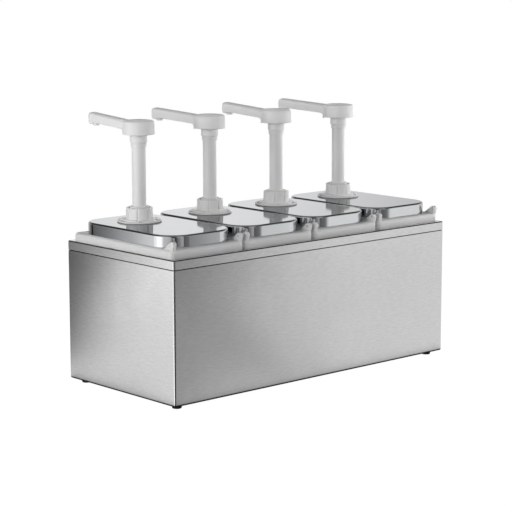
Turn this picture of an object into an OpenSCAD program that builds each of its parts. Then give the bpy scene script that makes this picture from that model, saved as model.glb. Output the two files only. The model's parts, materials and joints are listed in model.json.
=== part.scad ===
/* [Housing] */
// length of the sheet-metal housing along the row of jars
body_w = 436; // [380:1:520]
// depth of the housing from its plain face to its serving face
body_d = 196; // [180:1:230]
// height of the housing from its underside to its top edge
body_h = 165; // [150:1:200]
// thickness of the stainless sheet
sheet_t = 1; // [0.8:0.1:1.5]
// outside radius of the housing's upright bends
body_corner_r = 2.5; // [2:0.5:6]
// height of the top frame's outer skirt
band_h = 10.5; // [8:0.5:16]
// open seam between the skirt and the shell
seam_gap = 1.2; // [0.4:0.1:1.5]
// height of the shell's set-in upper edge that the skirt slips over
joggle_h = 19; // [15:1:26]
// width of the shell's turned-in lower edge
bottom_flange = 26; // [22:1:34]
// height of the base pan's upturned edge
pan_edge_h = 12; // [8:1:20]
// height of the turned-down edge around the frame's opening
hem_h = 8; // [5:1:12]

/* [Feet] */
// height of a rubber foot
foot_h = 5; // [4:0.5:10]
// diameter of a rubber foot
foot_d = 11; // [9:0.5:14]
// distance of a foot's centre from the housing's sides
foot_inset = 14; // [12:0.5:18]
// diameter of the foot's push-in stem
stem_d = 4.2; // [3:0.2:5]
// height of the barb that holds the stem
barb_h = 3.5; // [2:0.5:5]

/* [Jars] */
// ledge left free beside the row of jars
side_margin = 2.6; // [1:0.2:6]
// ledge left free in front of and behind the jars
end_margin = 7; // [4:0.5:9]
// space between neighbouring jar rims
jar_gap = 0.7; // [0.5:0.1:1.5]
// height of a jar's turned-down rim
rim_h = 10; // [8:0.5:14]
// wall thickness of a jar
jar_wall = 2.2; // [1.8:0.1:3]
// corner radius of the rim
rim_r = 7; // [5:0.5:9]
// radius of the rim's upper edge
rim_edge_r = 1.6; // [1:0.1:2]
// distance from the rim's long side to the mouth
mouth_in_x = 7.5; // [6.5:0.5:9]
// distance from the rim's short side to the mouth
mouth_in_y = 10; // [9.5:0.5:12]
// corner radius of the mouth
mouth_r = 24; // [18:1:28]
// height of the mouth's upstanding lip
lip_h = 4; // [2:0.5:6]
// how far each wall leans in towards the floor
jar_draft = 4; // [2:0.5:6]
// free space between a jar's floor and the base pan
under_jar = 14; // [8:1:30]

/* [Hinge ears] */
// thickness of an ear
ear_t = 4.5; // [3.5:0.5:6]
// distance of an ear from the rim's long side
ear_in = 2.5; // [1.5:0.5:4]
// length of an ear's foot along the rim
ear_l = 15; // [12:0.5:20]
// height of an ear above the rim
ear_h = 9; // [7:0.5:12]
// radius of an ear's peak
ear_r = 3.2; // [2.4:0.2:4]
// diameter of the hinge-pin socket
pin_d = 3.4; // [2.4:0.2:4]
// depth of the hinge-pin socket
pin_depth = 2.4; // [1.5:0.1:3]

/* [Lids] */
// distance from the rim's long side to the lid
lid_in_x = 3.5; // [2.5:0.5:4]
// distance from the rim's short side to the lid
lid_in_y = 7; // [5:0.5:7.5]
// height of a lid
lid_h = 14; // [12:0.5:18]
// corner radius of a lid
lid_r = 28; // [24:1:32]
// radius of the bend at the lid's top edge
lid_edge_r = 2.4; // [1.6:0.2:3]
// distance of the pump behind the middle of its lid
pump_back = 33; // [20:1:36]

/* [Pump cylinder] */
// length of the plunger's travel
stroke = 66; // [40:1:70]
// bore of the cylinder
cyl_bore = 24; // [20:0.5:28]
// wall thickness of the cylinder
cyl_wall = 2; // [1.5:0.1:3]
// diameter of the shoulder under the lid
shoulder_d = 36; // [32:0.5:40]
// thickness of the shoulder and of the cylinder's roof
shoulder_t = 2; // [1.5:0.1:3]
// outside diameter of the neck through the lid
neck_d = 22.6; // [20:0.1:25]
// how far the neck stands above the locking collar
neck_over = 1.3; // [0.8:0.1:3]
// radial clearance where the tube runs and turns
run_fit = 0.05; // [0.03:0.01:0.08]
// radial clearance where the neck passes the lid and flange
hole_fit = 0.4; // [0.3:0.1:0.6]

/* [Flange and collar] */
// diameter of the mounting flange
flange_d = 52; // [48:0.5:58]
// thickness of the mounting flange
flange_t = 2; // [1.5:0.1:3]
// depth of the flange's face below its rounded rim
flange_recess = 0.8; // [0.3:0.1:1]
// diameter of the flange's raised hub
hub_d = 40; // [38:0.5:44]
// height of the hub
hub_h = 1; // [0.6:0.1:2]
// radial length of a lug on the flange
lug_l = 4; // [2:0.5:5]
// width of a lug on the flange
lug_w = 5; // [3:0.5:8]
// lower diameter of the locking collar
collar_d = 32; // [30:0.5:35]
// upper diameter of the locking collar
collar_top_d = 30.8; // [28:0.2:33]
// height of the locking collar
collar_h = 13.5; // [10:0.5:18]
// wall thickness of the collar's open crown
crown_wall = 2; // [1.6:0.1:2.4]
// depth of the ring-shaped recess inside the crown
crown_depth = 1.8; // [0.8:0.1:2.5]
// number of grip grooves round the collar
grooves = 8; // [6:1:16]
// radius of a grip groove
groove_r = 1.1; // [0.6:0.1:1.2]

/* [Plunger] */
// outside diameter of the plunger tube
tube_d = 16.2; // [14:0.1:17]
// bore of the plunger tube
tube_bore = 10; // [9:0.5:11]
// height of the piston
piston_h = 13; // [11:0.5:16]
// diameter of the piston
piston_d = 23.2; // [19.2:0.1:27.2]
// thickness of the piston's floor under the tube
piston_floor = 6; // [4:0.5:8]
// diameter of the piston's inlet hole
piston_hole = 5.5; // [4:0.5:6]
// height of the piston seal
seal_h = 5; // [3:0.5:6]
// bottom diameter of the seal's groove
seal_in_d = 19.6; // [16.5:0.1:22]
// height of the seal's groove above the piston's lower face
seal_up = 4; // [3:0.5:5]
// diameter of the outlet ball
out_ball_d = 8; // [6.5:0.5:8.5]

/* [Spring and inlet] */
// wire of the return spring
wire_d = 1.3; // [1:0.1:1.6]
// mean diameter of the spring
coil_d = 19; // [17:0.5:21]
// gap between each closed end turn and the next turn
end_gap = 0.5; // [0.45:0.05:1]
// number of turns
turns = 8; // [7:1:9]
// spring length left at the end of the stroke
spring_short = 19; // [17:0.5:24]
// height of the inlet plug inside the cylinder
plug_h = 8; // [6:0.5:12]
// thickness of the plug's outer flange
plug_t = 3; // [2:0.5:4]
// diameter of the dip tube
dip_d = 10; // [8:0.5:12]
// bore of the dip tube
dip_bore = 6; // [5:0.5:7]
// space between the dip tube and the jar's floor
dip_clear = 5; // [3:0.5:8]
// diameter of the inlet ball
in_ball_d = 9; // [8.5:0.5:10]
// diameter of the chamber round the inlet ball
chamber_d = 11.5; // [11.5:0.5:13]

/* [Pump head] */
// lower diameter of the head's drum
head_d = 37.8; // [34:0.2:42]
// upper diameter of the head's drum
head_top_d = 37; // [33:0.2:41]
// height of the drum
head_h = 16.1; // [14:0.1:20]
// radius of the drum's upper edge
head_edge_r = 2.6; // [1.5:0.1:3]
// radius of the dished top
dish_r = 13.5; // [10:0.5:14]
// depth of the dished top
dish_h = 0.6; // [0.3:0.1:1]
// wall thickness of the drum
head_wall = 2.2; // [1.8:0.1:3]
// depth of the hollow under the drum
head_hollow = 9; // [6:0.5:10]
// diameter of the wide socket step
step_d = 20.4; // [19:0.1:23]
// height of the wide socket step
step_h = 9.1; // [6:0.1:12]
// diameter of the narrow socket step
step_low_d = 18.3; // [17.8:0.1:21]
// height of the narrow socket step
step_low_h = 5.4; // [4:0.1:8]
// space left above the neck at the end of the stroke
stroke_spare = 3; // [2:0.5:6]
// depth of the tube's seat above the drum's underside
seat_up = 3.2; // [2:0.2:4]
// reach of the spout from the tube's axis to its tip
reach = 82; // [70:1:86]
// width of the spout at the drum
arm_w = 13; // [11:0.5:16]
// width of the spout at its tip
arm_tip_w = 11; // [10:0.5:13]
// height of the spout
arm_h = 11.6; // [10.5:0.1:14]
// upward slope of the spout
arm_rise = 5.5; // [3:0.5:7]
// radius along the spout's upper edges
arm_edge_r = 5.5; // [2:0.5:5.5]
// radius of the spout's nose seen from the side
nose_r = 7; // [3:0.5:8]
// radius of the fillet where the spout leaves the drum
gusset_r = 4; // [3:0.5:5]
// diameter of the channel in the spout
channel_d = 5.6; // [4:0.2:6]
// diameter of the nozzle
nozzle_d = 8; // [7:0.2:9]
// length of the nozzle below the spout
nozzle_h = 3.6; // [2:0.2:6]
// bore of the nozzle
nozzle_bore = 4.4; // [3:0.2:5]
// distance of the nozzle from the tip
nozzle_back = 10.5; // [9:0.5:13]
// heading of the first spout, turned from straight ahead
turn_1 = 5.7; // [-60:0.1:60]
// heading of the second spout
turn_2 = 17.2; // [-60:0.1:60]
// heading of the third spout
turn_3 = 11.8; // [-60:0.1:60]
// heading of the fourth spout
turn_4 = 25; // [-60:0.1:60]

/* [Hidden] */

// how far a cutting solid runs past the face it cuts
over = 1;
// how far a swept edge runs into the plate that it edges
weld = 0.4;
jars = 4;
round_fn = 96;
hull_fn = 64;
small_fn = 48;

head_turn = [turn_1, turn_2, turn_3, turn_4];
jar_pitch = (body_w - 2 * side_margin) / jars;
jar_w = jar_pitch - jar_gap;
jar_l = body_d - 2 * end_margin;
mouth_w = jar_w - 2 * mouth_in_x;
mouth_l = jar_l - 2 * mouth_in_y;
lid_w = jar_w - 2 * lid_in_x;
lid_l = jar_l - 2 * lid_in_y;

// the origin is the middle of the footprint, spouts included
tip_y = max([for (a = head_turn) pump_back + (reach - arm_tip_w / 2) * cos(a) + arm_tip_w / 2]);
back_y = max(tip_y, body_d / 2);
body_y = (body_d / 2 - back_y) / 2;
pump_y = body_y + pump_back;

shell_z = foot_h;
base_z = shell_z + sheet_t;
top_z = shell_z + body_h;
seam_z = top_z - band_h - seam_gap;
frame_bend_r = sheet_t + sheet_t / 2;
rim_z = top_z + rim_h;
jar_z = base_z + sheet_t + under_jar;
jar_floor_z = jar_z + jar_wall;
lid_z = rim_z + lid_h;
lid_under_z = lid_z - sheet_t;

// the frame's opening lets the jar bodies through and carries their rims
open_w = (jars - 1) * jar_pitch + mouth_w + 3 * sheet_t;
open_l = mouth_l + 3 * sheet_t;
open_r = mouth_r;

hub_z = lid_z + flange_t + hub_h;
collar_z = hub_z + collar_h;
neck_z = collar_z + neck_over;
bore_top_z = lid_under_z - 2 * shoulder_t;
piston_z = bore_top_z - piston_h;
spring_h = stroke + spring_short;
plug_z = piston_z - spring_h;
cyl_z = plug_z - plug_h;
dip_z = jar_floor_z + dip_clear;
seat_z = piston_z + piston_floor;
neck_bore = tube_d + 2 * run_fit;
hole_d = neck_d + 2 * hole_fit;
out_ball_z = seat_z + sqrt(pow(out_ball_d / 2, 2) - pow(piston_hole / 2, 2));
in_seat_z = cyl_z;
in_ball_z = in_seat_z + sqrt(pow(in_ball_d / 2, 2) - pow(dip_bore / 2, 2));

step_z = neck_z + stroke + stroke_spare;
drum_z = step_z + step_low_h + step_h;
drum_top_z = drum_z + head_h;
tube_top_z = drum_z + seat_up;
drum_r = head_d / 2;
// the spout's upper edge is level with the drum's top where it leaves the drum
arm_top_z = drum_top_z - drum_r * tan(arm_rise);
arm_low_z = arm_top_z - arm_h;
channel_z = (arm_top_z + arm_low_z) / 2;
tip_rise = reach * tan(arm_rise);
nozzle_y = reach - nozzle_back;
nozzle_low_z = arm_low_z + nozzle_y * tan(arm_rise) - nozzle_h;

steel = "#c8cacb";
mirror_steel = "#dfe2e4";
white = "#f4f4f2";
ivory = "#e9e9e4";
dark = "#2b2b2b";

function jar_x(i) = (i - 1 - (jars - 1) / 2) * jar_pitch;

module round_rect(w, d, r) {
    square([w, d - 2 * r], center = true);
    square([w - 2 * r, d], center = true);
    for (x = [-1, 1], y = [-1, 1])
        translate([x * (w / 2 - r), y * (d / 2 - r)]) circle(r, $fn = round_fn);
}

module slab(w, d, r, low, high) {
    translate([0, 0, low]) linear_extrude(high - low) round_rect(w, d, r);
}

// upright edge that bends over into a flat top, seen in section
module bent_edge(h, t, r) {
    translate([-t, 0]) square([t, h - r]);
    intersection() {
        translate([-r, h - r]) difference() {
            circle(r, $fn = small_fn);
            circle(r - t, $fn = small_fn);
        }
        translate([-r, h - r]) square(r);
    }
    translate([-r - weld, h - t]) square([weld, t]);
}

// carries a section once round a rounded rectangle
module around(w, d, r) {
    for (k = [0:3]) {
        long = k % 2 == 0 ? w : d;
        wide = k % 2 == 0 ? d : w;
        rotate([0, 0, k * 90]) {
            translate([long / 2 - r, wide / 2 - r, 0]) rotate_extrude(angle = 90, $fn = round_fn)
                translate([r, 0]) children();
            translate([r - long / 2, wide / 2, 0]) rotate([90, 0, 90])
                linear_extrude(long - 2 * r) children();
        }
    }
}

// tray of sheet turned upside down: flat top, rounded edge, upright sides
module tray(w, d, r, h, t, edge) {
    around(w, d, r) bent_edge(h, t, edge);
    slab(w - 2 * edge, d - 2 * edge, r - edge, h - t, h);
}

module at_foot() {
    for (x = [-1, 1], y = [-1, 1])
        translate([x * (body_w / 2 - foot_inset), y * (body_d / 2 - foot_inset), 0]) children();
}

module outer_shell() {
    inset = 2 * sheet_t;
    color(steel) translate([0, body_y, 0]) difference() {
        union() {
            slab(body_w, body_d, body_corner_r, shell_z, seam_z);
            slab(body_w - inset, body_d - inset, body_corner_r - sheet_t,
                 seam_z - sheet_t, top_z - frame_bend_r);
        }
        slab(body_w - inset, body_d - inset, body_corner_r - sheet_t,
             base_z, top_z - joggle_h);
        slab(body_w - 2 * inset, body_d - 2 * inset, body_corner_r - sheet_t,
             base_z, top_z + over);
        slab(body_w - 2 * bottom_flange, body_d - 2 * bottom_flange, body_corner_r,
             shell_z - over, base_z + over);
        at_foot() translate([0, 0, shell_z - over])
            cylinder(d = stem_d, h = sheet_t + 2 * over, $fn = small_fn);
    }
}

module base_plate() {
    w = body_w - 2 * sheet_t;
    d = body_d - 2 * sheet_t;
    r = body_corner_r - sheet_t;
    color(steel) translate([0, body_y, 0]) difference() {
        slab(w, d, r, base_z, base_z + sheet_t + pan_edge_h);
        slab(w - 2 * sheet_t, d - 2 * sheet_t, r - sheet_t / 2,
             base_z + sheet_t, base_z + sheet_t + pan_edge_h + over);
        at_foot() translate([0, 0, base_z - over])
            cylinder(d = stem_d, h = sheet_t + 2 * over, $fn = small_fn);
    }
}

module top_frame() {
    color(steel) translate([0, body_y, top_z - band_h]) difference() {
        union() {
            tray(body_w, body_d, body_corner_r, band_h, sheet_t, frame_bend_r);
            slab(open_w + 2 * sheet_t, open_l + 2 * sheet_t, open_r + sheet_t,
                 band_h - sheet_t - hem_h, band_h - sheet_t / 2);
        }
        slab(open_w, open_l, open_r, band_h - hem_h - sheet_t - over, band_h + over);
    }
}

module feet() {
    color(dark) translate([0, body_y, 0]) at_foot() rotate_extrude($fn = small_fn) {
        square([foot_d / 2 - foot_h / 5, foot_h]);
        translate([0, foot_h / 5]) square([foot_d / 2, foot_h - foot_h / 5]);
        translate([foot_d / 2 - foot_h / 5, foot_h / 5]) circle(foot_h / 5, $fn = small_fn);
        square([stem_d / 2, foot_h + 2 * sheet_t + barb_h]);
        translate([0, foot_h + 2 * sheet_t])
            polygon([[0, 0], [stem_d * 2 / 3, 0], [stem_d * 2 / 3, barb_h / 4],
                     [stem_d / 3, barb_h], [0, barb_h]]);
    }
}

// drafted jar body, narrower at its floor
module jar_form(w, d, r, low, high, draft) {
    hull() {
        translate([0, 0, high - sheet_t]) linear_extrude(sheet_t)
            for (x = [-1, 1], y = [-1, 1])
                translate([x * (w / 2 - r), y * (d / 2 - r)]) circle(r, $fn = hull_fn);
        translate([0, 0, low]) linear_extrude(sheet_t)
            for (x = [-1, 1], y = [-1, 1])
                translate([x * (w / 2 - r), y * (d / 2 - r)]) circle(r - draft, $fn = hull_fn);
    }
}

module ear(side) {
    x = side * (jar_w / 2 - ear_in - ear_t / 2);
    front = -jar_l / 2;
    translate([x, 0, 0]) difference() {
        rotate([90, 0, 90]) linear_extrude(ear_t, center = true) hull() {
            translate([front + ear_r, rim_z + ear_h - ear_r]) circle(ear_r, $fn = small_fn);
            translate([front + rim_edge_r, rim_z - jar_wall / 2]) square([ear_l, jar_wall / 2]);
        }
        translate([-side * ear_t / 2, front + ear_r, rim_z + ear_h - ear_r]) rotate([0, 90, 0])
            cylinder(d = pin_d, h = 2 * pin_depth, center = true, $fn = small_fn);
    }
}

module jar(i) {
    color(white) translate([jar_x(i), body_y, 0]) {
        difference() {
            union() {
                translate([0, 0, top_z]) tray(jar_w, jar_l, rim_r, rim_h, jar_wall, jar_wall + rim_edge_r);
                slab(mouth_w, mouth_l, mouth_r, top_z, rim_z + lip_h);
                jar_form(mouth_w, mouth_l, mouth_r, jar_z, top_z + sheet_t, jar_draft);
            }
            slab(mouth_w - 2 * jar_wall, mouth_l - 2 * jar_wall, mouth_r - jar_wall,
                 top_z, rim_z + lip_h + over);
            jar_form(mouth_w - 2 * jar_wall, mouth_l - 2 * jar_wall, mouth_r - jar_wall,
                     jar_floor_z, top_z + sheet_t, jar_draft);
        }
        for (side = [-1, 1]) ear(side);
    }
}

module lid(i) {
    color(mirror_steel) translate([jar_x(i), body_y, rim_z]) difference() {
        tray(lid_w, lid_l, lid_r, lid_h, sheet_t, lid_edge_r);
        translate([0, pump_back, lid_h - sheet_t - over])
            cylinder(d = hole_d, h = sheet_t + 2 * over, $fn = round_fn);
    }
}

module cylinder_body(i) {
    cyl_d = cyl_bore + 2 * cyl_wall;
    color(ivory) translate([jar_x(i), pump_y, 0]) rotate_extrude($fn = round_fn) polygon([
        [cyl_bore / 2, cyl_z], [cyl_d / 2, cyl_z], [cyl_d / 2, lid_under_z - shoulder_t],
        [shoulder_d / 2, lid_under_z - shoulder_t], [shoulder_d / 2, lid_under_z],
        [neck_d / 2, lid_under_z], [neck_d / 2, neck_z], [neck_bore / 2, neck_z],
        [neck_bore / 2, bore_top_z], [cyl_bore / 2, bore_top_z]
    ]);
}

module mounting_flange(i) {
    color(white) translate([jar_x(i), pump_y, lid_z]) {
        rotate_extrude($fn = round_fn) difference() {
            union() {
                square([(flange_d - flange_t) / 2, flange_t]);
                translate([(flange_d - flange_t) / 2, flange_t / 2]) circle(flange_t / 2, $fn = small_fn);
                square([hub_d / 2, flange_t + hub_h]);
            }
            translate([hub_d / 2, flange_t - flange_recess])
                square([flange_d / 2 - flange_t - hub_d / 2, flange_recess + over]);
            translate([0, -over]) square([hole_d / 2, flange_t + hub_h + 2 * over]);
            translate([-flange_d, -over]) square([flange_d, flange_t + 2 * over]);
        }
        for (k = [0:3]) rotate([0, 0, k * 90 + 45])
            translate([hub_d / 2 - weld, -lug_w / 2, flange_t / 2])
                cube([lug_l + weld, lug_w, flange_t / 2 + hub_h]);
    }
}

module locking_collar(i) {
    bore = neck_d + 2 * run_fit;
    lean = (collar_d - collar_top_d) / 2;
    color(white) translate([jar_x(i), pump_y, hub_z]) difference() {
        rotate_extrude($fn = round_fn) polygon([
            [bore / 2, 0], [collar_d / 2, 0], [collar_top_d / 2, collar_h - lean],
            [collar_top_d / 2 - lean, collar_h], [collar_top_d / 2 - lean - crown_wall, collar_h],
            [collar_top_d / 2 - lean - crown_wall, collar_h - crown_depth], [bore / 2, collar_h - crown_depth]
        ]);
        for (k = [0:grooves - 1]) rotate([0, 0, k * 360 / grooves])
            translate([collar_d / 2, 0, lean * 2])
                cylinder(r = groove_r, h = collar_h, $fn = small_fn);
    }
}

module inlet_tube(i) {
    color(ivory) translate([jar_x(i), pump_y, 0]) difference() {
        rotate_extrude($fn = round_fn) polygon([
            [dip_bore / 2, dip_z], [dip_d / 2, dip_z], [dip_d / 2, cyl_z - plug_t],
            [cyl_bore / 2 + cyl_wall, cyl_z - plug_t], [cyl_bore / 2 + cyl_wall, cyl_z],
            [cyl_bore / 2 - run_fit, cyl_z], [cyl_bore / 2 - run_fit, plug_z],
            [chamber_d / 2, plug_z], [chamber_d / 2, in_seat_z], [dip_bore / 2, in_seat_z]
        ]);
        translate([0, 0, dip_z]) rotate([90, 0, 0]) linear_extrude(2 * dip_d, center = true)
            polygon([[dip_bore / 4, -over], [dip_d, -over], [dip_d, dip_d / 2]]);
    }
}

module inlet_ball(i) {
    color(steel) translate([jar_x(i), pump_y, in_ball_z]) sphere(d = in_ball_d, $fn = small_fn);
}

module outlet_ball(i) {
    color(steel) translate([jar_x(i), pump_y, out_ball_z]) sphere(d = out_ball_d, $fn = small_fn);
}

module piston(i) {
    color(ivory) translate([jar_x(i), pump_y, 0]) rotate_extrude($fn = round_fn) polygon([
        [piston_hole / 2, piston_z], [piston_d / 2, piston_z],
        [piston_d / 2, piston_z + seal_up], [seal_in_d / 2, piston_z + seal_up],
        [seal_in_d / 2, piston_z + seal_up + seal_h], [piston_d / 2, piston_z + seal_up + seal_h],
        [piston_d / 2, bore_top_z], [tube_d / 2, bore_top_z], [tube_d / 2, seat_z],
        [piston_hole / 2, seat_z]
    ]);
}

module piston_seal(i) {
    out = cyl_bore / 2 - run_fit;
    lip = (out - seal_in_d / 2) / 3;
    color(dark) translate([jar_x(i), pump_y, piston_z + seal_up]) rotate_extrude($fn = round_fn)
        polygon([
            [seal_in_d / 2, 0], [out - lip, 0], [out, lip], [out, seal_h - lip],
            [out - lip, seal_h], [seal_in_d / 2, seal_h]
        ]);
}

module plunger_tube(i) {
    color(white) translate([jar_x(i), pump_y, 0]) rotate_extrude($fn = round_fn) polygon([
        [tube_bore / 2, seat_z], [tube_d / 2, seat_z], [tube_d / 2, tube_top_z],
        [tube_bore / 2, tube_top_z]
    ]);
}

// round wire wound between the plug and the piston, its end turns closed
coil_rings = 8;
wire_sides = 6;
coil_steps = turns * coil_rings;
end_pitch = wire_d + end_gap;
coil_pitch = (spring_h - wire_d - 2 * end_pitch) / (turns - 2);
function coil_z(t) = wire_d / 2 + (t < 1 ? t * end_pitch
    : t > turns - 1 ? end_pitch + (turns - 2) * coil_pitch + (t - turns + 1) * end_pitch
    : end_pitch + (t - 1) * coil_pitch);

function coil_at(t) = [coil_d / 2 * cos(t * 360), coil_d / 2 * sin(t * 360), coil_z(t)];
coil_gap = min([for (s = [0:coil_steps], u = [0:coil_steps])
    if (u - s >= coil_rings * 3 / 4) norm(coil_at(u / coil_rings) - coil_at(s / coil_rings))]) - wire_d;
echo(least_gap_between_spring_coils = coil_gap);

module return_spring(i) {
    color(steel) translate([jar_x(i), pump_y, plug_z]) polyhedron(
        points = [for (s = [0:coil_steps], k = [0:wire_sides - 1])
            let (a = s * 360 / coil_rings, b = k * 360 / wire_sides + 30,
                 rr = coil_d / 2 + wire_d / 2 * cos(b))
            [rr * cos(a), rr * sin(a), coil_z(s / coil_rings) + wire_d / 2 * sin(b)]],
        faces = concat(
            [[for (k = [0:wire_sides - 1]) k]],
            [[for (k = [wire_sides - 1:-1:0]) coil_steps * wire_sides + k]],
            [for (s = [0:coil_steps - 1], k = [0:wire_sides - 1])
                let (n = (k + 1) % wire_sides, a = s * wire_sides, b = a + wire_sides)
                [a + k, b + k, b + n]],
            [for (s = [0:coil_steps - 1], k = [0:wire_sides - 1])
                let (n = (k + 1) % wire_sides, a = s * wire_sides, b = a + wire_sides)
                [a + k, b + n, a + n]]));
}

module arm_side() {
    low = arm_low_z;
    up = tip_rise;
    difference() {
        union() {
            polygon([[0, low], [reach - nose_r, low + up * (reach - nose_r) / reach],
                     [reach, low + up], [reach, arm_top_z + up - nose_r],
                     [reach - nose_r, arm_top_z + up * (reach - nose_r) / reach],
                     [0, arm_top_z]]);
            translate([reach - nose_r, arm_top_z + up * (reach - nose_r) / reach - nose_r])
                circle(nose_r, $fn = small_fn);
            translate([drum_r - head_wall, low - gusset_r])
                square([gusset_r + head_wall, gusset_r * 3 / 2]);
        }
        translate([drum_r + gusset_r, low + drum_r * tan(arm_rise) - gusset_r + weld / 2])
            circle(gusset_r, $fn = small_fn);
        translate([drum_r + weld, low - 2 * gusset_r])
            square([gusset_r + over, gusset_r * 2 - gusset_r * 2 / 3]);
    }
}

module arm_plan() {
    polygon([[-arm_w / 2, 0], [arm_w / 2, 0], [arm_tip_w / 2, reach - arm_tip_w / 2],
             [-arm_tip_w / 2, reach - arm_tip_w / 2]]);
    translate([0, reach - arm_tip_w / 2]) circle(arm_tip_w / 2, $fn = small_fn);
}

module arm_section() {
    round_low = -arm_h - 2 * gusset_r;
    difference() {
        translate([-arm_w / 2, round_low]) square([arm_w, -round_low]);
        for (x = [-1, 1]) translate([x * (arm_w / 2 - arm_edge_r), -arm_edge_r]) difference() {
            translate([x > 0 ? 0 : -arm_edge_r - over, 0]) square([arm_edge_r + over, arm_edge_r + over]);
            circle(arm_edge_r, $fn = small_fn);
        }
    }
}

module arm() {
    span = reach + head_d;
    intersection() {
        rotate([90, 0, 90]) linear_extrude(2 * arm_w, center = true) arm_side();
        translate([0, 0, arm_low_z - 2 * arm_h]) linear_extrude(4 * arm_h + tip_rise) arm_plan();
        translate([0, 0, arm_top_z]) rotate([arm_rise, 0, 0]) translate([0, -arm_h, 0])
            rotate([90, 0, 180]) linear_extrude(span) arm_section();
    }
}

module drum() {
    lean = (head_d - head_top_d) / 2;
    rotate_extrude($fn = round_fn) difference() {
        union() {
            polygon([[0, drum_z], [drum_r, drum_z], [drum_r - lean, drum_top_z - head_edge_r],
                     [0, drum_top_z - head_edge_r]]);
            translate([0, drum_top_z - head_edge_r - over])
                square([drum_r - lean - head_edge_r, head_edge_r + over]);
            translate([drum_r - lean - head_edge_r, drum_top_z - head_edge_r])
                circle(head_edge_r, $fn = small_fn);
        }
        polygon([[0, drum_top_z - dish_h], [dish_r - dish_h * 2, drum_top_z - dish_h],
                 [dish_r, drum_top_z], [dish_r, drum_top_z + over], [0, drum_top_z + over]]);
        translate([step_d / 2, drum_z - over])
            square([drum_r - head_wall - step_d / 2, head_hollow + over]);
    }
}

module pump_head(i) {
    color(white) translate([jar_x(i), pump_y, 0]) rotate([0, 0, head_turn[i - 1]]) difference() {
        union() {
            drum();
            difference() {
                arm();
                translate([0, 0, drum_z]) cylinder(r = drum_r - head_wall, h = head_h * 2, $fn = round_fn);
            }
            translate([0, 0, drum_z - step_h]) cylinder(d = step_d, h = step_h + weld, $fn = round_fn);
            translate([0, 0, step_z]) cylinder(d = step_low_d, h = step_low_h + weld, $fn = round_fn);
            translate([0, nozzle_y, nozzle_low_z])
                cylinder(d = nozzle_d, h = nozzle_h + arm_h / 4, $fn = small_fn);
        }
        translate([0, 0, step_z - over])
            cylinder(d = neck_bore, h = tube_top_z - step_z + over, $fn = round_fn);
        translate([0, 0, step_z])
            cylinder(d = tube_bore - tube_bore / 5, h = channel_z - step_z, $fn = small_fn);
        translate([0, 0, channel_z]) rotate([arm_rise, 0, 0]) rotate([-90, 0, 0])
            cylinder(d = channel_d, h = nozzle_y / cos(arm_rise) + nozzle_bore / 3, $fn = small_fn);
        translate([0, nozzle_y, nozzle_low_z - over])
            cylinder(d = nozzle_bore, h = nozzle_h + arm_h / 2 + over, $fn = small_fn);
    }
}

outer_shell();
base_plate();
top_frame();
feet();
jar(1);  // jar_1
jar(2);  // jar_2
jar(3);  // jar_3
jar(4);  // jar_4
lid(1);  // lid_1
lid(2);  // lid_2
lid(3);  // lid_3
lid(4);  // lid_4
cylinder_body(1);  // cylinder_1
cylinder_body(2);  // cylinder_2
cylinder_body(3);  // cylinder_3
cylinder_body(4);  // cylinder_4
mounting_flange(1);  // mounting_flange_1
mounting_flange(2);  // mounting_flange_2
mounting_flange(3);  // mounting_flange_3
mounting_flange(4);  // mounting_flange_4
locking_collar(1);  // locking_collar_1
locking_collar(2);  // locking_collar_2
locking_collar(3);  // locking_collar_3
locking_collar(4);  // locking_collar_4
inlet_tube(1);  // inlet_tube_1
inlet_tube(2);  // inlet_tube_2
inlet_tube(3);  // inlet_tube_3
inlet_tube(4);  // inlet_tube_4
inlet_ball(1);  // inlet_ball_1
inlet_ball(2);  // inlet_ball_2
inlet_ball(3);  // inlet_ball_3
inlet_ball(4);  // inlet_ball_4
return_spring(1);  // return_spring_1
return_spring(2);  // return_spring_2
return_spring(3);  // return_spring_3
return_spring(4);  // return_spring_4
piston(1);  // piston_1
piston(2);  // piston_2
piston(3);  // piston_3
piston(4);  // piston_4
piston_seal(1);  // piston_seal_1
piston_seal(2);  // piston_seal_2
piston_seal(3);  // piston_seal_3
piston_seal(4);  // piston_seal_4
outlet_ball(1);  // outlet_ball_1
outlet_ball(2);  // outlet_ball_2
outlet_ball(3);  // outlet_ball_3
outlet_ball(4);  // outlet_ball_4
plunger_tube(1);  // plunger_tube_1
plunger_tube(2);  // plunger_tube_2
plunger_tube(3);  // plunger_tube_3
plunger_tube(4);  // plunger_tube_4
pump_head(1);  // pump_head_1
pump_head(2);  // pump_head_2
pump_head(3);  // pump_head_3
pump_head(4);  // pump_head_4
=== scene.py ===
import json
import math

import bmesh
import bpy
from mathutils import Matrix, Vector

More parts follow.
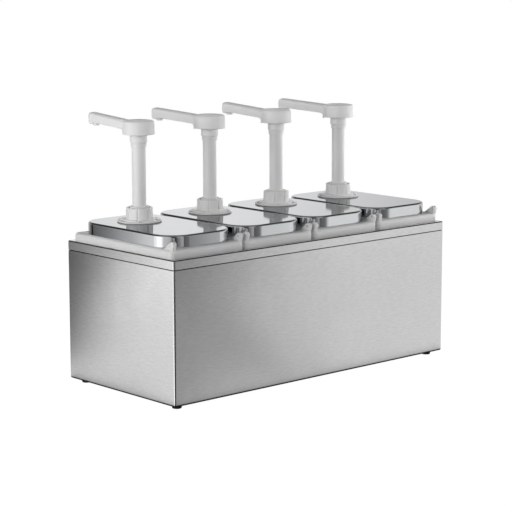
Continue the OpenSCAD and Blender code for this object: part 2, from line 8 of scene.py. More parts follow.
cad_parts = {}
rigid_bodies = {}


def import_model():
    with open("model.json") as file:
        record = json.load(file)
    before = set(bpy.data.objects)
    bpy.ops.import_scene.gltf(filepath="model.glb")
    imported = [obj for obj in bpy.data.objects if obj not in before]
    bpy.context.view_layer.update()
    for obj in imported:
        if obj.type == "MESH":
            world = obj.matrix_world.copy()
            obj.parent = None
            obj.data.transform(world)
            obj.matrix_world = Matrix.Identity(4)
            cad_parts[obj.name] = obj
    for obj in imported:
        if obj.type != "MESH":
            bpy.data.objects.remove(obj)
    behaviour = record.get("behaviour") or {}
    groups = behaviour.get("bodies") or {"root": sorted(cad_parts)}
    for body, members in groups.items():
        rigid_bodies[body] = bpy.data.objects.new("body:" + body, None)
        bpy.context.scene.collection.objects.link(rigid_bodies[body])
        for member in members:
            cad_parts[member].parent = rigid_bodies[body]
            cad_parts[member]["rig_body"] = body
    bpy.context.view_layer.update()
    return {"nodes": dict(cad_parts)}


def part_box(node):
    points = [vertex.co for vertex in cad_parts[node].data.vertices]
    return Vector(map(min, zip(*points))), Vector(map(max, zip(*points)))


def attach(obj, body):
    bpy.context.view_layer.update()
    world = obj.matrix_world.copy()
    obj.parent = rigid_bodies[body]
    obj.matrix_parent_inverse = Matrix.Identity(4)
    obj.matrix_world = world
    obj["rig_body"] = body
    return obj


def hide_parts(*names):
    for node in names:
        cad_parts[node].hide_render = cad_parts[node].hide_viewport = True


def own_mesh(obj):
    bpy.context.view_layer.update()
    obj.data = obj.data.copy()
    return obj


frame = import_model()
nodes = frame["nodes"]
print("frame loaded:", len(nodes), "nodes")

scene = bpy.context.scene
scene.view_settings.view_transform = "Standard"
pumps = range(1, 5)


# materials

def linearColor(hexText):
    channels = [int(hexText[i:i + 2], 16) / 255 for i in (1, 3, 5)]
    return [c / 12.92 if c <= 0.04045 else ((c + 0.055) / 1.055) ** 2.4 for c in channels] + [1.0]


def addNode(tree, kind, settings=None, inputs=None, links=None, stops=()):
    node = tree.nodes.new(kind)
    for name, value in (settings or {}).items():
        setattr(node, name, value)
    for name, value in (inputs or {}).items():
        node.inputs[name].default_value = value
    for name, source in (links or {}).items():
        tree.links.new(source, node.inputs[name])
    # a ramp's stops are places with their grey tones, and it eases from one to the next
    if stops:
        node.color_ramp.interpolation = "EASE"
        points = node.color_ramp.elements
        while len(points) < len(stops):
            points.new(0.5)
        for point, (place, tone) in zip(points, stops):
            point.position = place
            point.color = (tone, tone, tone, 1)
    return node


def newMaterial(name):
    material = bpy.data.materials.new(name)
    material.use_nodes = True
    tree = material.node_tree
    tree.nodes.clear()
    return material, tree


def millimetres(tree):
    coords = addNode(tree, "ShaderNodeTexCoord")
    return addNode(tree, "ShaderNodeVectorMath", {"operation": "SCALE"}, {"Scale": 1000.0},
                   {0: coords.outputs["Object"]}).outputs[0]


# noise values lie mostly between these, and the brush lines are cut sharper
noiseSpan = (0.3, 0.7)
lineSpan = (0.35, 0.65)
# what a bump of full strength stands for, in metres
bumpDepth = 0.0001
# grain and length are a brush line's width and run in mm, and cloud is the size of the belt's wear. The
# reflections stretch across the lines, a quarter turn from them
brushedSheet = {"color": "#e1e1e1", "dark": "#d7d7d7", "roughness": 0.24, "smoother": 0.03, "rougher": 0.04,
                "grain": 0.8, "length": 9.0, "cloud": 45.0, "grooves": 0.03, "stretch": 0.8, "turn": 0.25}
# heights in mm between which the sheet darkens, with its share of light below and above them. This is painted
# shade: dark lines where the wrapper steps in behind the frame's skirt and along its lower bend, and on the
# frame's rounded edge under the jars, in place of the shade and dark reflections there. The frame's last pair
# brings its ledge back to the sheet's own tone
wrapperPaintedShade = [(6.9, 7.9, 0.16, 1.0), (158.2, 158.4, 1.0, 0.16)]
framePaintedShade = [(168.7, 169.2, 1.0, 0.2), (169.9, 169.98, 1.0, 5.0)]


def brushedStainless(name, paintedShades):
    # stainless sheet with a belt-brushed finish: fine level lines that draw reflections up and down
    material, tree = newMaterial(name)
    place = millimetres(tree)
    # belt lines are about 0.1 mm apart, drawn at 0.8 mm so that they show
    scale = [1 / brushedSheet[run] for run in ("length", "length", "grain")]
    grain = addNode(tree, "ShaderNodeMapping", inputs={"Scale": scale}, links={"Vector": place})
    lines = addNode(tree, "ShaderNodeTexNoise", inputs={"Scale": 1.0, "Detail": 3.0, "Roughness": 0.6},
                    links={"Vector": grain.outputs[0]})
    clouds = addNode(tree, "ShaderNodeTexNoise", inputs={"Scale": 1 / brushedSheet["cloud"], "Detail": 2.0},
                     links={"Vector": place})
    spread = addNode(tree, "ShaderNodeMapRange", inputs={1: lineSpan[0], 2: lineSpan[1]},
                     links={0: lines.outputs[0]})
    tone = addNode(tree, "ShaderNodeMix", {"data_type": "RGBA"},
                   {6: linearColor(brushedSheet["color"]), 7: linearColor(brushedSheet["dark"])},
                   {0: spread.outputs[0]})
    color = tone.outputs[2]
    split = addNode(tree, "ShaderNodeSeparateXYZ", links={0: place})
    # painted shade: between each pair of heights the base colour is scaled, darker in the bends and the seam
    for start, end, below, above in paintedShades:
        shadeBand = addNode(tree, "ShaderNodeMapRange", inputs={1: start, 2: end, 3: below, 4: above},
                       links={0: split.outputs["Z"]})
        shaded = addNode(tree, "ShaderNodeVectorMath", {"operation": "SCALE"},
                         links={0: color, "Scale": shadeBand.outputs[0]})
        color = shaded.outputs[0]
    rough = addNode(tree, "ShaderNodeMapRange", inputs={
        1: noiseSpan[0], 2: noiseSpan[1], 3: brushedSheet["roughness"] - brushedSheet["smoother"],
        4: brushedSheet["roughness"] + brushedSheet["rougher"]}, links={0: clouds.outputs[0]})
    bump = addNode(tree, "ShaderNodeBump", inputs={
        "Strength": brushedSheet["grooves"], "Distance": bumpDepth}, links={"Height": lines.outputs[0]})
    # the lines run level round the sheet, and along the housing on its level faces
    facing = addNode(tree, "ShaderNodeNewGeometry")
    level = addNode(tree, "ShaderNodeVectorMath", {"operation": "CROSS_PRODUCT"}, {0: (0, 0, 1)},
                    {1: facing.outputs["Normal"]})
    along = addNode(tree, "ShaderNodeVectorMath", {"operation": "ADD"}, {1: (0.01, 0, 0)},
                    {0: level.outputs[0]})
    shader = addNode(tree, "ShaderNodeBsdfPrincipled", inputs={
        "Metallic": 1.0, "Anisotropic": brushedSheet["stretch"],
        "Anisotropic Rotation": brushedSheet["turn"]},
        links={"Base Color": color, "Roughness": rough.outputs[0],
               "Normal": bump.outputs[0], "Tangent": along.outputs[0]})
    addNode(tree, "ShaderNodeOutputMaterial", links={"Surface": shader.outputs[0]})
    return material


# haze is the size of the buffing's clouds in mm
lidSheet = {"color": "#dddfe1", "dark": "#d6d8da", "roughness": 0.07, "spread": 0.02, "haze": 18.0,
            "grazing": "#bcbcbc"}


def polishedStainless():
    # pressed stainless lid, buffed to a mirror: clear reflections with the faintest haze
    material, tree = newMaterial("polishedStainlessSheet")
    place = millimetres(tree)
    haze = addNode(tree, "ShaderNodeTexNoise", inputs={"Scale": 1 / lidSheet["haze"], "Detail": 3.0},
                   links={"Vector": place})
    tone = addNode(tree, "ShaderNodeMix", {"data_type": "RGBA"},
                   {6: linearColor(lidSheet["color"]), 7: linearColor(lidSheet["dark"])},
                   {0: haze.outputs[0]})
    rough = addNode(tree, "ShaderNodeMapRange", inputs={
        1: noiseSpan[0], 2: noiseSpan[1], 3: lidSheet["roughness"] - lidSheet["spread"],
        4: lidSheet["roughness"] + lidSheet["spread"]}, links={0: haze.outputs[0]})
    # steel mirrors less at a flat angle, which leaves the pumps' reflections dark
    shader = addNode(tree, "ShaderNodeBsdfPrincipled", inputs={
        "Metallic": 1.0, "Specular Tint": linearColor(lidSheet["grazing"])},
        links={"Base Color": tone.outputs[2], "Roughness": rough.outputs[0]})
    addNode(tree, "ShaderNodeOutputMaterial", links={"Surface": shader.outputs[0]})
    return material


# mottle and skin are the sizes in mm of the cloudy colour and of the mould's texture, and bleed is in metres
moulding = {"mottle": 22.0, "skin": 0.7, "spread": 0.04, "ior": 1.49, "bleed": (0.004, 0.004, 0.0035)}


def mouldedPlastic(name, color, dark, roughness, softness, textureDepth):
    material, tree = newMaterial(name)
    place = millimetres(tree)
    mottle, skin = [addNode(tree, "ShaderNodeTexNoise", inputs={"Scale": 1 / moulding[size], "Detail": 2.0},
                            links={"Vector": place}) for size in ("mottle", "skin")]
    tone = addNode(tree, "ShaderNodeMix", {"data_type": "RGBA"},
                   {6: linearColor(color), 7: linearColor(dark)}, {0: mottle.outputs[0]})
    rough = addNode(tree, "ShaderNodeMapRange", inputs={
        1: noiseSpan[0], 2: noiseSpan[1], 3: roughness - moulding["spread"],
        4: roughness + moulding["spread"]}, links={0: skin.outputs[0]})
    bump = addNode(tree, "ShaderNodeBump", inputs={"Strength": textureDepth, "Distance": bumpDepth},
                   links={"Height": skin.outputs[0]})
    shader = addNode(tree, "ShaderNodeBsdfPrincipled", inputs={
        "IOR": moulding["ior"], "Subsurface Weight": softness, "Subsurface Radius": moulding["bleed"],
        "Subsurface Scale": 1.0},
        links={"Base Color": tone.outputs[2], "Roughness": rough.outputs[0], "Normal": bump.outputs[0]})
    addNode(tree, "ShaderNodeOutputMaterial", links={"Surface": shader.outputs[0]})
    return material


def whitePolypropylene():
    # injection-moulded polypropylene, opaque white with a soft sheen
    return mouldedPlastic("whitePolypropylene", "#f2f2f2", "#ededed", 0.36, 0.08, 0.08)


def jarPolyethylene():
    # moulded jar, a little milky, so light bleeds into its edges
    return mouldedPlastic("milkyPolyethylene", "#e4e4e4", "#dedede", 0.42, 0.18, 0.08)


def naturalPolypropylene():
    # unpigmented pump body, waxy and slightly yellow
    return mouldedPlastic("naturalPolypropylene", "#ededea", "#e5e5e1", 0.45, 0.2, 0.1)


def nitrileRubber():
    # moulded black rubber, dull with a dusty bloom
    return mouldedPlastic("nitrileRubber", "#262626", "#303030", 0.75, 0.0, 0.3)


# marks is the spacing in mm of the die's marks
drawnSteel = {"color": "#c9cbcd", "dark": "#bfc1c3", "marks": 0.6, "smooth": 0.18, "rough": 0.3}


def drawnWire():
    # hard-drawn stainless wire and bearing balls, bright with fine draw marks
    material, tree = newMaterial("drawnStainlessWire")
    place = millimetres(tree)
    marks = addNode(tree, "ShaderNodeTexNoise", inputs={"Scale": 1 / drawnSteel["marks"], "Detail": 2.0},
                    links={"Vector": place})
    rough = addNode(tree, "ShaderNodeMapRange", inputs={
        1: noiseSpan[0], 2: noiseSpan[1], 3: drawnSteel["smooth"], 4: drawnSteel["rough"]},
        links={0: marks.outputs[0]})
    tone = addNode(tree, "ShaderNodeMix", {"data_type": "RGBA"},
                   {6: linearColor(drawnSteel["color"]), 7: linearColor(drawnSteel["dark"])},
                   {0: marks.outputs[0]})
    shader = addNode(tree, "ShaderNodeBsdfPrincipled", inputs={"Metallic": 1.0},
                     links={"Base Color": tone.outputs[2], "Roughness": rough.outputs[0]})
    addNode(tree, "ShaderNodeOutputMaterial", links={"Surface": shader.outputs[0]})
    return material


steel = brushedStainless("brushedStainlessSheet", [])
# the wrapper's and the frame's copies of the sheet carry painted shade at their bends and seam
wrapperSteelPaintedShade = brushedStainless("brushedStainlessWrapperPaintedShade", wrapperPaintedShade)
frameSteelPaintedShade = brushedStainless("brushedStainlessFramePaintedShade", framePaintedShade)
polished = polishedStainless()
white = whitePolypropylene()
milky = jarPolyethylene()
natural = naturalPolypropylene()
rubber = nitrileRubber()
wire = drawnWire()
print("materials made")

finishes = {
    "outer_shell": wrapperSteelPaintedShade, "base_plate": steel, "top_frame": frameSteelPaintedShade, "feet": rubber,
    "jar": milky, "lid": polished, "cylinder": natural, "mounting_flange": white,
    "locking_collar": white, "inlet_tube": natural, "inlet_ball": wire, "return_spring": wire,
    "piston": natural, "piston_seal": rubber, "outlet_ball": wire, "plunger_tube": white,
    "pump_head": white,
}
for name, node in nodes.items():
    kind = name if name in finishes else name.rsplit("_", 1)[0]
    node.data.materials.clear()
    node.data.materials.append(finishes[kind])
print("CAD nodes dressed")


# pieces that are finer than the CAD's

# vertices closer than mergeReach, in metres, are one, and faces that turn by less than flatAngle are one face
mergeReach = 2e-6
flatAngle = math.radians(0.5)
# the edges that turn by less are shaded smooth
smoothAngle = math.radians(40)


def copyOfNode(node, name):
    mesh = nodes[node].data.copy()
    mesh.name = name
    for extra in [layer.name for layer in mesh.attributes if "normal" in layer.name]:
        mesh.attributes.remove(mesh.attributes[extra])
    shape = bmesh.new()
    shape.from_mesh(mesh)
    bmesh.ops.remove_doubles(shape, verts=shape.verts, dist=mergeReach)
    bmesh.ops.recalc_face_normals(shape, faces=shape.faces)
    return mesh, shape


def finishPiece(mesh, shape, name, node, material):
    shape.to_mesh(mesh)
    shape.free()
    piece = bpy.data.objects.new(name, mesh)
    scene.collection.objects.link(piece)
    mesh.materials.clear()
    mesh.materials.append(material)
    mesh.shade_smooth()
    mesh.set_sharp_from_angle(angle=smoothAngle)
    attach(piece, nodes[node]["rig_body"])
    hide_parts(node)
    return piece


def bakeModifiers(piece):
    bpy.context.view_layer.update()
    seen = piece.evaluated_get(bpy.context.evaluated_depsgraph_get())
    mesh = bpy.data.meshes.new_from_object(seen)
    piece.modifiers.clear()
    piece.data = mesh
    return mesh


# widths in mm of the soft edges that moulding leaves, on edges that turn by more than sharpAngle degrees
softEdges = {"collar": 0.25, "flange": 0.4, "jar": 0.6, "segments": 2, "sharpAngle": 35}


def bevelEdges(shape, edges, width, segments):
    bmesh.ops.bevel(shape, geom=edges, offset=width, offset_type="OFFSET", segments=segments,
                    profile=0.5, affect="EDGES", clamp_overlap=True, material=-1)
    bmesh.ops.triangulate(shape, faces=[face for face in shape.faces if len(face.verts) > 4])


def bevelledPiece(node, name, material, width):
    mesh, shape = copyOfNode(node, name)
    bmesh.ops.dissolve_limit(shape, angle_limit=flatAngle, verts=shape.verts, edges=shape.edges)
    sharp = [edge for edge in shape.edges if len(edge.link_faces) == 2
             and edge.calc_face_angle(0) > math.radians(softEdges["sharpAngle"])]
    bevelEdges(shape, sharp, width / 1000, softEdges["segments"])
    finishPiece(mesh, shape, name, node, material)


# a moulded head with its arm, drum and socket blended as the mould leaves them. Voxel is in mm, and so is
# seat, the depth below the tube's top where the socket's part begins
pumpHeadMould = {"voxel": 0.42, "blend": 0.5, "drumPasses": 7, "socketPasses": 1, "seat": 3.2}


def makePumpHead(i):
    node = "pump_head_%d" % i
    mesh, shape = copyOfNode(node, "pumpHead_%d" % i)
    piece = finishPiece(mesh, shape, "pumpHead_%d" % i, node, white)
    voxels = piece.modifiers.new("voxels", "REMESH")
    voxels.mode = "VOXEL"
    voxels.voxel_size = pumpHeadMould["voxel"] / 1000
    mesh = bakeModifiers(piece)
    # the stepped socket keeps its crisp rims, and the drum and spout blend more
    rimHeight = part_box("plunger_tube_%d" % i)[1][2] - pumpHeadMould["seat"] / 1000
    for part, low, high, passes in (("drum", rimHeight, 1.0, pumpHeadMould["drumPasses"]),
                                    ("socket", 0.0, rimHeight, pumpHeadMould["socketPasses"])):
        group = piece.vertex_groups.new(name=part)
        group.add([vertex.index for vertex in mesh.vertices if low < vertex.co.z <= high], 1.0, "REPLACE")
        blend = piece.modifiers.new(part, "SMOOTH")
        blend.factor = pumpHeadMould["blend"]
        blend.iterations = passes
        blend.vertex_group = part
    bakeModifiers(piece).shade_smooth()
    piece.vertex_groups.clear()


for i in pumps:
    makePumpHead(i)
print("pump heads moulded")

# where the housing stands, in metres, and how far round it no light gets under
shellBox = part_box("outer_shell")
contact = {"middle": [(shellBox[0][axis] + shellBox[1][axis]) / 2 for axis in (0, 1)],
           "half": [(shellBox[1][axis] - shellBox[0][axis]) / 2 for axis in (0, 1)], "fade": 0.02}
# the wrapper's lower bends have the radius that a 1 mm sheet folds to. In metres, their edges lie within
# height of the lowest point and within corner of the outline, and one of their faces stands up by standing or
# more. They turn by more than turn, in radians
shellFold = {"radius": 0.0022, "corner": 0.004, "height": 1e-4, "standing": 2e-4, "turn": 1.0, "segments": 4}


def bentShell():
    mesh, shape = copyOfNode("outer_shell", "outerShell")
    bmesh.ops.dissolve_limit(shape, angle_limit=flatAngle, verts=shape.verts, edges=shape.edges)
    low = shellBox[0][2] + shellFold["height"]

    def onOutline(place):
        return place.z < low and any(
            abs(place[axis] - contact["middle"][axis]) > contact["half"][axis] - shellFold["corner"]
            for axis in (0, 1))

    outline = [edge for edge in shape.edges if all(onOutline(vertex.co) for vertex in edge.verts)
               and len(edge.link_faces) == 2 and edge.calc_face_angle(0) > shellFold["turn"]
               and max(face.calc_center_median().z for face in edge.link_faces) > low + shellFold["standing"]]
    bevelEdges(shape, outline, shellFold["radius"], shellFold["segments"])
    finishPiece(mesh, shape, "outerShell", "outer_shell", wrapperSteelPaintedShade)


# a wound spring with closed ends, built at the CAD spring's length; it moves with its body and does not
# shorten.
# Wire and pitch are in mm, and sides and steps are the faces round the wire and along a turn
springCoil = {"wire": 1.3, "endPitch": 1.8, "turns": 8, "sides": 12, "steps": 40}


def makeSpring(i):
    node = "return_spring_%d" % i
    low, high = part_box(node)
    middle, height = (low + high) / 2, high.z - low.z
    thick, endPitch = springCoil["wire"] / 1000, springCoil["endPitch"] / 1000
    shape = bmesh.new()
    start = Matrix.Translation((high.x - thick / 2, middle.y, low.z + thick / 2))
    ring = bmesh.ops.create_circle(shape, segments=springCoil["sides"], radius=thick / 2,
                                   matrix=start @ Matrix.Rotation(math.pi / 2, 4, "X"))
    last = ring["verts"] + list({edge for vertex in ring["verts"] for edge in vertex.link_edges})
    openTurns = springCoil["turns"] - 2
    openPitch = (height - thick - 2 * endPitch) / openTurns
    for turns, pitch in ((1, endPitch), (openTurns, openPitch), (1, endPitch)):
        last = bmesh.ops.spin(shape, geom=last, cent=middle, axis=(0, 0, 1), angle=math.tau * turns,
                              dvec=(0, 0, pitch / springCoil["steps"]), steps=springCoil["steps"] * turns,
                              use_merge=False, use_duplicate=False)["geom_last"]
    bmesh.ops.holes_fill(shape, edges=[edge for edge in shape.edges if edge.is_boundary], sides=0)
    bmesh.ops.recalc_face_normals(shape, faces=shape.faces)
    piece = finishPiece(bpy.data.meshes.new("returnSpring_%d" % i), shape, "returnSpring_%d" % i, node, wire)
    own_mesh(piece)


for i in pumps:
    makeSpring(i)
print("springs wound")

for i in pumps:
    bevelledPiece("locking_collar_%d" % i, "lockingCollar_%d" % i, white,
                  softEdges["collar"])
    bevelledPiece("mounting_flange_%d" % i, "mountingFlange_%d" % i, white,
                  softEdges["flange"])
    bevelledPiece("jar_%d" % i, "jarMoulding_%d" % i, milky, softEdges["jar"])
bentShell()
print("collars, flanges, jars and shell softened")


# floor, light and camera

# brightness of the room by compass angle round the dispenser, as white and black cards would give it
roomTones = [(-180, 0.55), (-172, 0.42), (-142, 0.36), (-137, 0.03), (-122, 0.03), (-108, 0.16), (-95, 0.27),
             (-88, 0.3), (-70, 0.26), (-52, 0.46), (-38, 0.55), (0, 0.68), (48, 0.75), (88, 0.56),
             (105, 0.16), (124, 0.0), (129, 0.1), (134, 0.72), (140, 0.94), (150, 0.84), (160, 1.0),
             (170, 1.0), (180, 0.55)]
# above the floor the black card is a dark grey one
skyTones = [(degrees, max(tone, 0.1)) for degrees, tone in roomTones]
# the bright wall behind the dispenser, as the lids' tops mirror it
backWall = {"tones": [(-180, 0.0), (38, 0.0), (50.5, 1.0), (60, 0.5), (72, 0.0), (180, 0.0)], "glow": 0.64}
# and two grey cards high beside the camera, which they mirror when they are seen from the pumps' side
sideCards = {"tones": [(-180, 1.0), (-156, 1.0), (-144, 0.0), (-120, 0.0), (-108, 1.0), (-90, 1.0),
                       (-74, 0.0), (165, 0.0), (180, 1.0)],
             "heights": [(0.0, 0.0), (0.06, 0.0), (0.18, 1.0), (0.56, 1.0), (0.7, 0.0)], "glow": 0.42}
# the room's cards as the floor carries them near the dispenser, for the housing's walls
nearTones = [(-180, 1.0), (-160, 1.0), (-153, 0.15), (-147, 0.0), (-94, 0.0), (-87, 0.2), (-82, 0.28),
             (-70, 0.27), (-52, 0.45), (-38, 0.53), (0, 0.6), (48, 0.64), (88, 0.5), (105, 0.16), (122, 0.05),
             (128, 0.17), (131, 0.32), (135, 0.62), (139, 0.74), (144, 0.68), (150, 0.64), (157, 0.75),
             (180, 0.8)]
# closer still, where the end wall's foot looks: the same up to 88 degrees, and then darker
footTones = nearTones[:13] + [(122, 0.04), (126, 0.06), (132, 0.25), (138, 0.38), (144, 0.5), (153, 0.57),
                              (169, 0.6), (180, 0.6)]
# and by the angle round the housing's near corner, for the floor at its foot
cornerTones = [(-180, 1.0), (-160, 1.0), (-153, 0.15), (-147, 0.0), (-94, 0.0), (-86, 0.2), (-60, 0.27),
               (0, 0.4), (90, 0.5), (120, 0.58), (150, 0.6), (160, 0.9), (180, 1.0)]
# the room by height, as the sine of the angle above the floor: dark between the cards and the ceiling. From
# the first sine in overhead to the second, the compass angle counts less and less
room = {"heights": [(0.0, 1.0), (0.2, 0.98), (0.4, 0.2), (0.62, 0.06), (0.74, 0.06), (0.84, 0.15),
                    (1.0, 0.18)],
        "overhead": (0.45, 0.8), "light": 1.25}
# the paper's greatest shadow fades from near to far round its center, and the tones change from foot to near
# and from near to room between the pairs of reaches, all in metres
floorSheet = {"size": 14.0, "color": "#f4f4f4", "shadow": 0.1, "near": 0.35, "far": 0.95,
              "center": (-0.1, 0.0), "cardLight": 1.5, "footReach": (0.3, 0.58), "nearReach": (1.08, 1.16),
              "cornerReach": (0.16, 0.32)}


def compassTone(tree, direction, tones):
    # the grey that a list of degrees and tones gives a direction
    split = addNode(tree, "ShaderNodeSeparateXYZ", links={0: direction})
    angle = addNode(tree, "ShaderNodeMath", {"operation": "ARCTAN2"},
                    links={0: split.outputs["Y"], 1: split.outputs["X"]})
    share = addNode(tree, "ShaderNodeMapRange", inputs={1: -math.pi, 2: math.pi}, links={0: angle.outputs[0]})
    ramp = addNode(tree, "ShaderNodeValToRGB", links={0: share.outputs[0]},
                   stops=[((degrees + 180) / 360, tone) for degrees, tone in tones])
    return ramp.outputs[0]


def makeFloor():
    bpy.ops.mesh.primitive_plane_add(size=floorSheet["size"], location=(0, 0, 0))
    floor = bpy.context.object
    floor.name = "paperFloor"
    material, tree = newMaterial("paleStudioFloor")
    rays = addNode(tree, "ShaderNodeLightPath")
    coords = addNode(tree, "ShaderNodeTexCoord")
    fromMiddle = addNode(tree, "ShaderNodeVectorMath", {"operation": "SUBTRACT"},
                         {1: (*floorSheet["center"], 0)}, {0: coords.outputs["Object"]})
    reach = addNode(tree, "ShaderNodeVectorMath", {"operation": "LENGTH"}, links={0: fromMiddle.outputs[0]})
    shadow = addNode(tree, "ShaderNodeMapRange", {"interpolation_type": "SMOOTHSTEP"},
                     {1: floorSheet["near"], 2: floorSheet["far"], 3: floorSheet["shadow"], 4: 0.0},
                     {0: reach.outputs["Value"]})
    paper = addNode(tree, "ShaderNodeMath", {"operation": "SUBTRACT"}, {0: 1.0}, {1: shadow.outputs[0]})
    # the paper is bright white to the eye, and in reflections it carries the room's cards
    lift = addNode(tree, "ShaderNodeMath", {"operation": "ADD"}, {1: 1.0}, {0: shadow.outputs[0]})
    eyeGlow = addNode(tree, "ShaderNodeEmission", links={"Strength": lift.outputs[0]})
    footShare, nearShare = [
        addNode(tree, "ShaderNodeMapRange", inputs={1: floorSheet[name][0], 2: floorSheet[name][1]},
                links={0: reach.outputs["Value"]}) for name in ("footReach", "nearReach")]
    cardTone = addNode(tree, "ShaderNodeMix", {"data_type": "RGBA"}, links={
        0: footShare.outputs[0], 6: compassTone(tree, fromMiddle.outputs[0], footTones),
        7: compassTone(tree, fromMiddle.outputs[0], nearTones)})
    cardTone = addNode(tree, "ShaderNodeMix", {"data_type": "RGBA"}, links={
        0: nearShare.outputs[0], 6: cardTone.outputs[2],
        7: compassTone(tree, fromMiddle.outputs[0], roomTones)})
    fromCorner = addNode(tree, "ShaderNodeVectorMath", {"operation": "SUBTRACT"},
                         {1: (shellBox[0][0], shellBox[0][1], 0)}, {0: coords.outputs["Object"]})
    cornerReach = addNode(tree, "ShaderNodeVectorMath", {"operation": "LENGTH"},
                          links={0: fromCorner.outputs[0]})
    cornerShare = addNode(tree, "ShaderNodeMapRange", inputs={
        1: floorSheet["cornerReach"][0], 2: floorSheet["cornerReach"][1]},
        links={0: cornerReach.outputs["Value"]})
    cardTone = addNode(tree, "ShaderNodeMix", {"data_type": "RGBA"}, links={
        0: cornerShare.outputs[0], 6: compassTone(tree, fromCorner.outputs[0], cornerTones),
        7: cardTone.outputs[2]})
    # no light gets under the housing, which its lower bends mirror
    away = addNode(tree, "ShaderNodeVectorMath", {"operation": "SUBTRACT"},
                   {1: (*contact["middle"], 0)}, {0: coords.outputs["Object"]})
    outward = addNode(tree, "ShaderNodeVectorMath", {"operation": "ABSOLUTE"}, links={0: away.outputs[0]})
    past = addNode(tree, "ShaderNodeVectorMath", {"operation": "SUBTRACT"},
                   {1: (*contact["half"], 0)}, {0: outward.outputs[0]})
    sides = addNode(tree, "ShaderNodeSeparateXYZ", links={0: past.outputs[0]})
    edge = addNode(tree, "ShaderNodeMath", {"operation": "MAXIMUM"}, links={
        0: sides.outputs["X"], 1: sides.outputs["Y"]})
    clear = addNode(tree, "ShaderNodeMapRange", inputs={1: 0.0, 2: contact["fade"]},
                    links={0: edge.outputs[0]})
    strength = addNode(tree, "ShaderNodeMath", {"operation": "MULTIPLY"}, {1: floorSheet["cardLight"]},
                       {0: clear.outputs[0]})
    cardGlow = addNode(tree, "ShaderNodeEmission", links={
        "Color": cardTone.outputs[2], "Strength": strength.outputs[0]})
    matte = addNode(tree, "ShaderNodeBsdfDiffuse", inputs={"Color": linearColor(floorSheet["color"])})
    inGloss = addNode(tree, "ShaderNodeMath", {"operation": "MAXIMUM"},
                      links={0: rays.outputs["Is Glossy Ray"], 1: rays.outputs["Is Transmission Ray"]})
    lit = addNode(tree, "ShaderNodeMixShader", links={
        0: inGloss.outputs[0], 1: matte.outputs[0], 2: cardGlow.outputs[0]})
    seen = addNode(tree, "ShaderNodeMath", {"operation": "MULTIPLY"},
                   links={0: rays.outputs["Is Camera Ray"], 1: paper.outputs[0]})
    shader = addNode(tree, "ShaderNodeMixShader", links={
        0: seen.outputs[0], 1: lit.outputs[0], 2: eyeGlow.outputs[0]})
    addNode(tree, "ShaderNodeOutputMaterial", links={"Surface": shader.outputs[0]})
    floor.data.materials.append(material)


def makeWorld():
    world = bpy.data.worlds.new("studioRoom")
    scene.world = world
    world.use_nodes = True
    tree = world.node_tree
    tree.nodes.clear()
    rays = addNode(tree, "ShaderNodeLightPath")
    coords = addNode(tree, "ShaderNodeTexCoord")
    split = addNode(tree, "ShaderNodeSeparateXYZ", links={0: coords.outputs["Generated"]})
    height, cardHeight = [addNode(tree, "ShaderNodeValToRGB", links={0: split.outputs["Z"]}, stops=stops)
                          for stops in (room["heights"], sideCards["heights"])]
    overhead = addNode(tree, "ShaderNodeMapRange", inputs={1: room["overhead"][0], 2: room["overhead"][1]},
                       links={0: split.outputs["Z"]})
    wall = addNode(tree, "ShaderNodeMath", {"operation": "MULTIPLY"}, links={
        0: rays.outputs["Is Glossy Ray"],
        1: compassTone(tree, coords.outputs["Generated"], backWall["tones"])})
    tones = addNode(tree, "ShaderNodeMath", {"operation": "MULTIPLY_ADD"}, {1: backWall["glow"]}, {
        0: wall.outputs[0], 2: compassTone(tree, coords.outputs["Generated"], skyTones)})
    around = addNode(tree, "ShaderNodeMix", {"data_type": "FLOAT"}, {3: 1.0},
                     {0: overhead.outputs[0], 2: tones.outputs[0]})
    wholeTone = addNode(tree, "ShaderNodeMath", {"operation": "MULTIPLY"},
                        links={0: height.outputs[0], 1: around.outputs[0]})
    walls = addNode(tree, "ShaderNodeMath", {"operation": "MULTIPLY"}, {1: room["light"]},
                    {0: wholeTone.outputs[0]})
    card = addNode(tree, "ShaderNodeMath", {"operation": "MULTIPLY"}, links={
        0: cardHeight.outputs[0], 1: compassTone(tree, coords.outputs["Generated"], sideCards["tones"])})
    mirrored = addNode(tree, "ShaderNodeMath", {"operation": "MULTIPLY"}, links={
        0: rays.outputs["Is Glossy Ray"], 1: card.outputs[0]})
    total = addNode(tree, "ShaderNodeMath", {"operation": "MULTIPLY_ADD"}, {1: sideCards["glow"]}, {
        0: mirrored.outputs[0], 2: walls.outputs[0]})
    strength = addNode(tree, "ShaderNodeMix", {"data_type": "FLOAT"}, {3: 1.0},
                       {0: rays.outputs["Is Camera Ray"], 2: total.outputs[0]})
    back = addNode(tree, "ShaderNodeBackground", inputs={"Color": (1, 1, 1, 1)},
                   links={"Strength": strength.outputs[0]})
    addNode(tree, "ShaderNodeOutputWorld", links={"Surface": back.outputs[0]})


# standing cards that only reflections see, with their brightness along their length in metres. They fade out
# above the share fadeFrom of their height
cards = {
    "endCard": {"from": (-0.85, -0.55), "to": (-0.85, 1.25), "height": 0.42, "fadeFrom": 0.45,
                "tones": [(0.0, 0.36), (0.42, 0.42), (0.52, 0.75), (0.6, 1.0), (0.85, 1.0), (0.96, 0.76),
                          (1.2, 0.76), (1.29, 0.56), (1.355, 0.32), (1.42, 0.14), (1.47, 0.06), (1.8, 0.03)]},
    "sideCard": {"from": (-0.1, -0.75), "to": (1.7, -0.75), "height": 0.42, "fadeFrom": 0.45,
                 "tones": [(0.0, 0.08), (0.3, 0.11), (0.45, 0.18), (0.54, 0.35), (0.63, 0.49), (0.74, 0.58),
                           (1.8, 0.6)]},
}


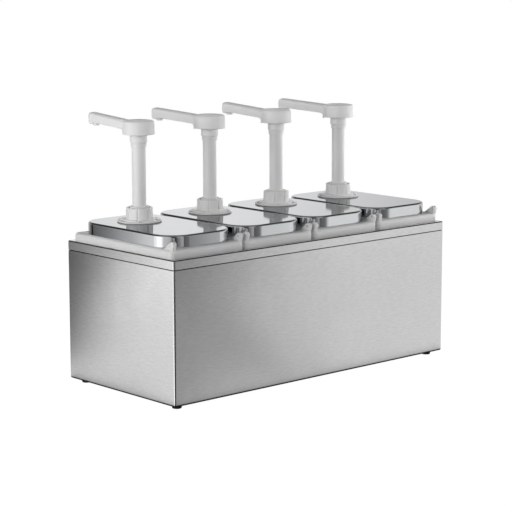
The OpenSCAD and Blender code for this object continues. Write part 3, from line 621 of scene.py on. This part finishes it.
def makeCard(name):
    card = cards[name]
    start, end = Vector((*card["from"], 0)), Vector((*card["to"], 0))
    length = (end - start).length
    up = Vector((0, 0, card["height"]))
    shape = bmesh.new()
    corners = [shape.verts.new(place) for place in (start, end, end + up, start + up)]
    shape.faces.new(corners)
    mesh = bpy.data.meshes.new(name)
    shape.to_mesh(mesh)
    shape.free()
    board = bpy.data.objects.new(name, mesh)
    scene.collection.objects.link(board)
    material, tree = newMaterial(name + "Board")
    coords = addNode(tree, "ShaderNodeTexCoord")
    fromStart = addNode(tree, "ShaderNodeVectorMath", {"operation": "SUBTRACT"}, {1: start},
                        {0: coords.outputs["Object"]})
    along = addNode(tree, "ShaderNodeVectorMath", {"operation": "DOT_PRODUCT"},
                    {1: (end - start) / length ** 2}, {0: fromStart.outputs[0]})
    split = addNode(tree, "ShaderNodeSeparateXYZ", links={0: coords.outputs["Object"]})
    fade = addNode(tree, "ShaderNodeMapRange", {"interpolation_type": "SMOOTHSTEP"},
                   {1: card["height"] * card["fadeFrom"], 2: card["height"], 3: 1.0, 4: 0.0},
                   {0: split.outputs["Z"]})
    tones = addNode(tree, "ShaderNodeValToRGB", links={0: along.outputs["Value"]},
                    stops=[(place / length, tone) for place, tone in card["tones"]])
    glow = addNode(tree, "ShaderNodeEmission", inputs={"Strength": floorSheet["cardLight"]},
                   links={"Color": tones.outputs[0]})
    clear = addNode(tree, "ShaderNodeBsdfTransparent")
    shader = addNode(tree, "ShaderNodeMixShader", links={
        0: fade.outputs[0], 1: clear.outputs[0], 2: glow.outputs[0]})
    addNode(tree, "ShaderNodeOutputMaterial", links={"Surface": shader.outputs[0]})
    mesh.materials.append(material)
    board.visible_camera = board.visible_diffuse = board.visible_shadow = False
    board.visible_transmission = board.visible_volume_scatter = False


# places, the points they shine at and sizes in metres, and power in watts
lamps = {
    "leftSoftbox": {"place": (-2.5, -0.19, 0.7), "target": (-0.1, 0.0, 0.22), "size": (1.35, 1.1),
                    "power": 30.0},
    "rightSoftbox": {"place": (0.9, -0.45, 0.42), "target": (0.12, -0.03, 0.25), "size": (0.6, 0.5),
                     "power": 5.0},
    "overheadFill": {"place": (-0.15, -0.1, 1.5), "target": (0.0, 0.0, 0.2), "size": (1.2, 1.0),
                     "power": 0.5},
    "frontFill": {"place": (-0.2, -1.7, 0.45), "target": (0.0, -0.05, 0.2), "size": (1.2, 0.6),
                  "power": 2.9},
}


def makeLamp(name):
    settings = lamps[name]
    lamp = bpy.data.lights.new(name, "AREA")
    lamp.shape = "RECTANGLE"
    lamp.size, lamp.size_y = settings["size"]
    lamp.energy = settings["power"]
    holder = bpy.data.objects.new(name, lamp)
    scene.collection.objects.link(holder)
    holder.location = settings["place"]
    shineTo = Vector(settings["target"]) - Vector(settings["place"])
    holder.rotation_euler = shineTo.to_track_quat("-Z", "Y").to_euler()
    # the cards, not the lamps, are what the steel shows
    holder.visible_camera = False
    holder.visible_glossy = False


# solved from the housing's six corners in the photo: angles in degrees, focal length in pixels of its width
cameraView = {"place": (-1.4443, -1.6054, 0.5030), "yaw": 48.06, "pitch": 9.609, "roll": 0.109,
              "focalPixels": 1799.7, "widthPixels": 512, "sensor": 36, "farLimit": 50}


def makeCamera():
    data = bpy.data.cameras.new("photoCamera")
    data.sensor_width = cameraView["sensor"]
    data.lens = cameraView["focalPixels"] / cameraView["widthPixels"] * cameraView["sensor"]
    data.clip_end = cameraView["farLimit"]
    camera = bpy.data.objects.new("photoCamera", data)
    scene.collection.objects.link(camera)
    yaw, pitch = math.radians(cameraView["yaw"]), math.radians(cameraView["pitch"])
    ahead = Vector((math.cos(yaw) * math.cos(pitch), math.sin(yaw) * math.cos(pitch), -math.sin(pitch)))
    turn = ahead.to_track_quat("-Z", "Y").to_matrix().to_4x4()
    roll = Matrix.Rotation(-math.radians(cameraView["roll"]), 4, "Z")
    camera.matrix_world = Matrix.Translation(cameraView["place"]) @ turn @ roll
    scene.camera = camera


makeFloor()
makeWorld()
for name in cards:
    makeCard(name)
for name in lamps:
    makeLamp(name)
makeCamera()
print("stage, lamps and camera set")
